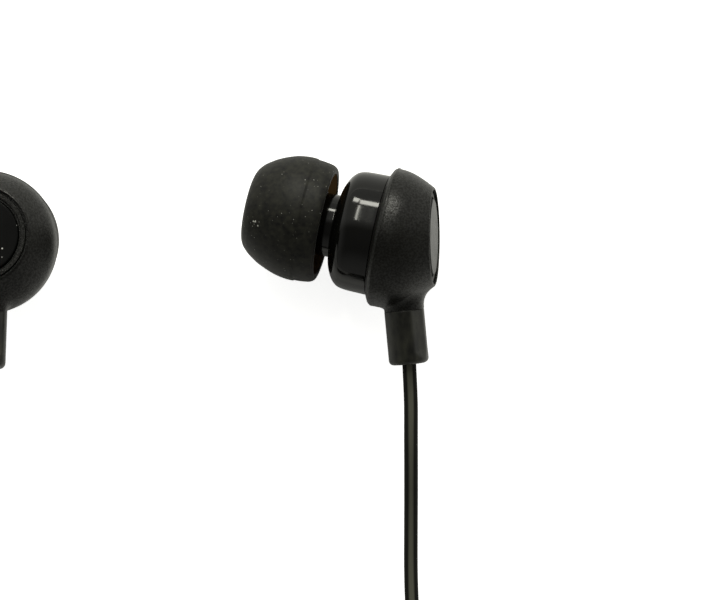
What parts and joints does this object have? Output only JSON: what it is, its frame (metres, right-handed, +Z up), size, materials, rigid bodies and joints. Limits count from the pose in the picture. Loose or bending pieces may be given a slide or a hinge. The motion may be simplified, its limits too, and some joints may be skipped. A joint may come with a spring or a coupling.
{
  "type": "wired in-ear earphones",
  "caption": "Wired in-ear earphones with soft dome tips, stepped round housings, tilted disc-faced caps, a Y cord put away in coils, and a 3.5 mm plug.",
  "frame": {"origin": "on the table the earphones lie on, under the middle of the box round the two earbuds", "axes": "+Z up from the table, +X from the left earbud to the right one, +Y away from the cords, towards the far side of the earbuds"},
  "size_m": [0.0518, 0.1451, 0.0202],
  "materials": {
    "silicone_black": "soft semi-gloss silicone",
    "gloss_housing": "polished black plastic",
    "matte_cap": "fine satin grain with a faint sparkle",
    "badge_gloss": "polished near-black disc",
    "steel_mesh": "fine woven steel",
    "felt_damper": "open white felt",
    "foam_gasket": "closed-cell foam",
    "cover_steel": "stamped perforated steel",
    "frame_plastic": "moulded plastic",
    "diaphragm_film": "thin formed film",
    "copper_coil": "wound copper wire",
    "pole_steel": "zinc-plated steel",
    "magnet_nickel": "nickel-plated magnet",
    "damping_paper": "thin porous paper",
    "board_green": "green circuit board",
    "wire_enamel": "enamelled copper wire",
    "cord_skin": "smooth satin cord jacket",
    "strain_rubber": "satin moulded rubber",
    "tie_plastic": "flat plastic-coated wire ribbon",
    "grip_plastic": "satin moulded grip",
    "contact_gold": "polished gold plating",
    "insulator_black": "black plastic rings"
  },
  "bodies": {
    "earphones": {"right_front_housing": "gloss_housing", "right_nozzle_mesh": "steel_mesh", "right_nozzle_damper": "felt_damper", "right_driver_gasket": "foam_gasket", "right_driver_cover": "cover_steel", "right_driver_frame": "frame_plastic", "right_top_plate": "pole_steel", "right_magnet": "magnet_nickel", "right_yoke": "pole_steel", "right_damping_ring": "damping_paper", "right_terminal_board": "board_green", "right_lead_wires": "wire_enamel", "right_cord_end": "cord_skin", "right_rear_cap": "matte_cap", "right_badge_disc": "badge_gloss", "right_strain_relief": "strain_rubber", "left_front_housing": "gloss_housing", "left_nozzle_mesh": "steel_mesh", "left_nozzle_damper": "felt_damper", "left_driver_gasket": "foam_gasket", "left_driver_cover": "cover_steel", "left_driver_frame": "frame_plastic", "left_top_plate": "pole_steel", "left_magnet": "magnet_nickel", "left_yoke": "pole_steel", "left_damping_ring": "damping_paper", "left_terminal_board": "board_green", "left_lead_wires": "wire_enamel", "left_cord_end": "cord_skin", "left_rear_cap": "matte_cap", "left_badge_disc": "badge_gloss", "left_strain_relief": "strain_rubber", "right_cord": "cord_skin", "right_cord_coil": "cord_skin", "right_cord_tail": "cord_skin", "right_tie": "tie_plastic", "left_cord": "cord_skin", "left_cord_coil": "cord_skin", "left_cord_tail": "cord_skin", "left_tie": "tie_plastic", "y_splitter": "strain_rubber", "main_cord_lead": "cord_skin", "main_cord_coil": "cord_skin", "main_cord_tail": "cord_skin", "main_tie": "tie_plastic", "plug_relief": "strain_rubber", "plug_grip": "grip_plastic", "jack_sleeve": "contact_gold", "jack_rear_insulator": "insulator_black", "jack_ring": "contact_gold", "jack_front_insulator": "insulator_black", "jack_tip": "contact_gold"},
    "right_tip": {"right_ear_tip": "silicone_black"},
    "left_tip": {"left_ear_tip": "silicone_black"},
    "right_driver": {"right_diaphragm": "diaphragm_film", "right_voice_coil": "copper_coil"},
    "left_driver": {"left_diaphragm": "diaphragm_film", "left_voice_coil": "copper_coil"}
  },
  "joints": [
    {"name": "right_tip_pull", "type": "slide", "parent": "earphones", "child": "right_tip", "axis": [-0.9721, 0.2066, -0.1107], "range_m": [0, 0.006]},
    {"name": "left_tip_pull", "type": "slide", "parent": "earphones", "child": "left_tip", "axis": [0.073, 0.0785, -0.9942], "range_m": [0, 0.006]},
    {"name": "right_diaphragm", "type": "slide", "parent": "earphones", "child": "right_driver", "axis": [-0.9721, 0.2066, -0.1107], "range_m": [-0.00012, 0.00012], "stiffness_N_per_m": 20},
    {"name": "left_diaphragm", "type": "slide", "parent": "earphones", "child": "left_driver", "axis": [0.073, 0.0785, -0.9942], "range_m": [-0.00012, 0.00012], "stiffness_N_per_m": 20}
  ]
}
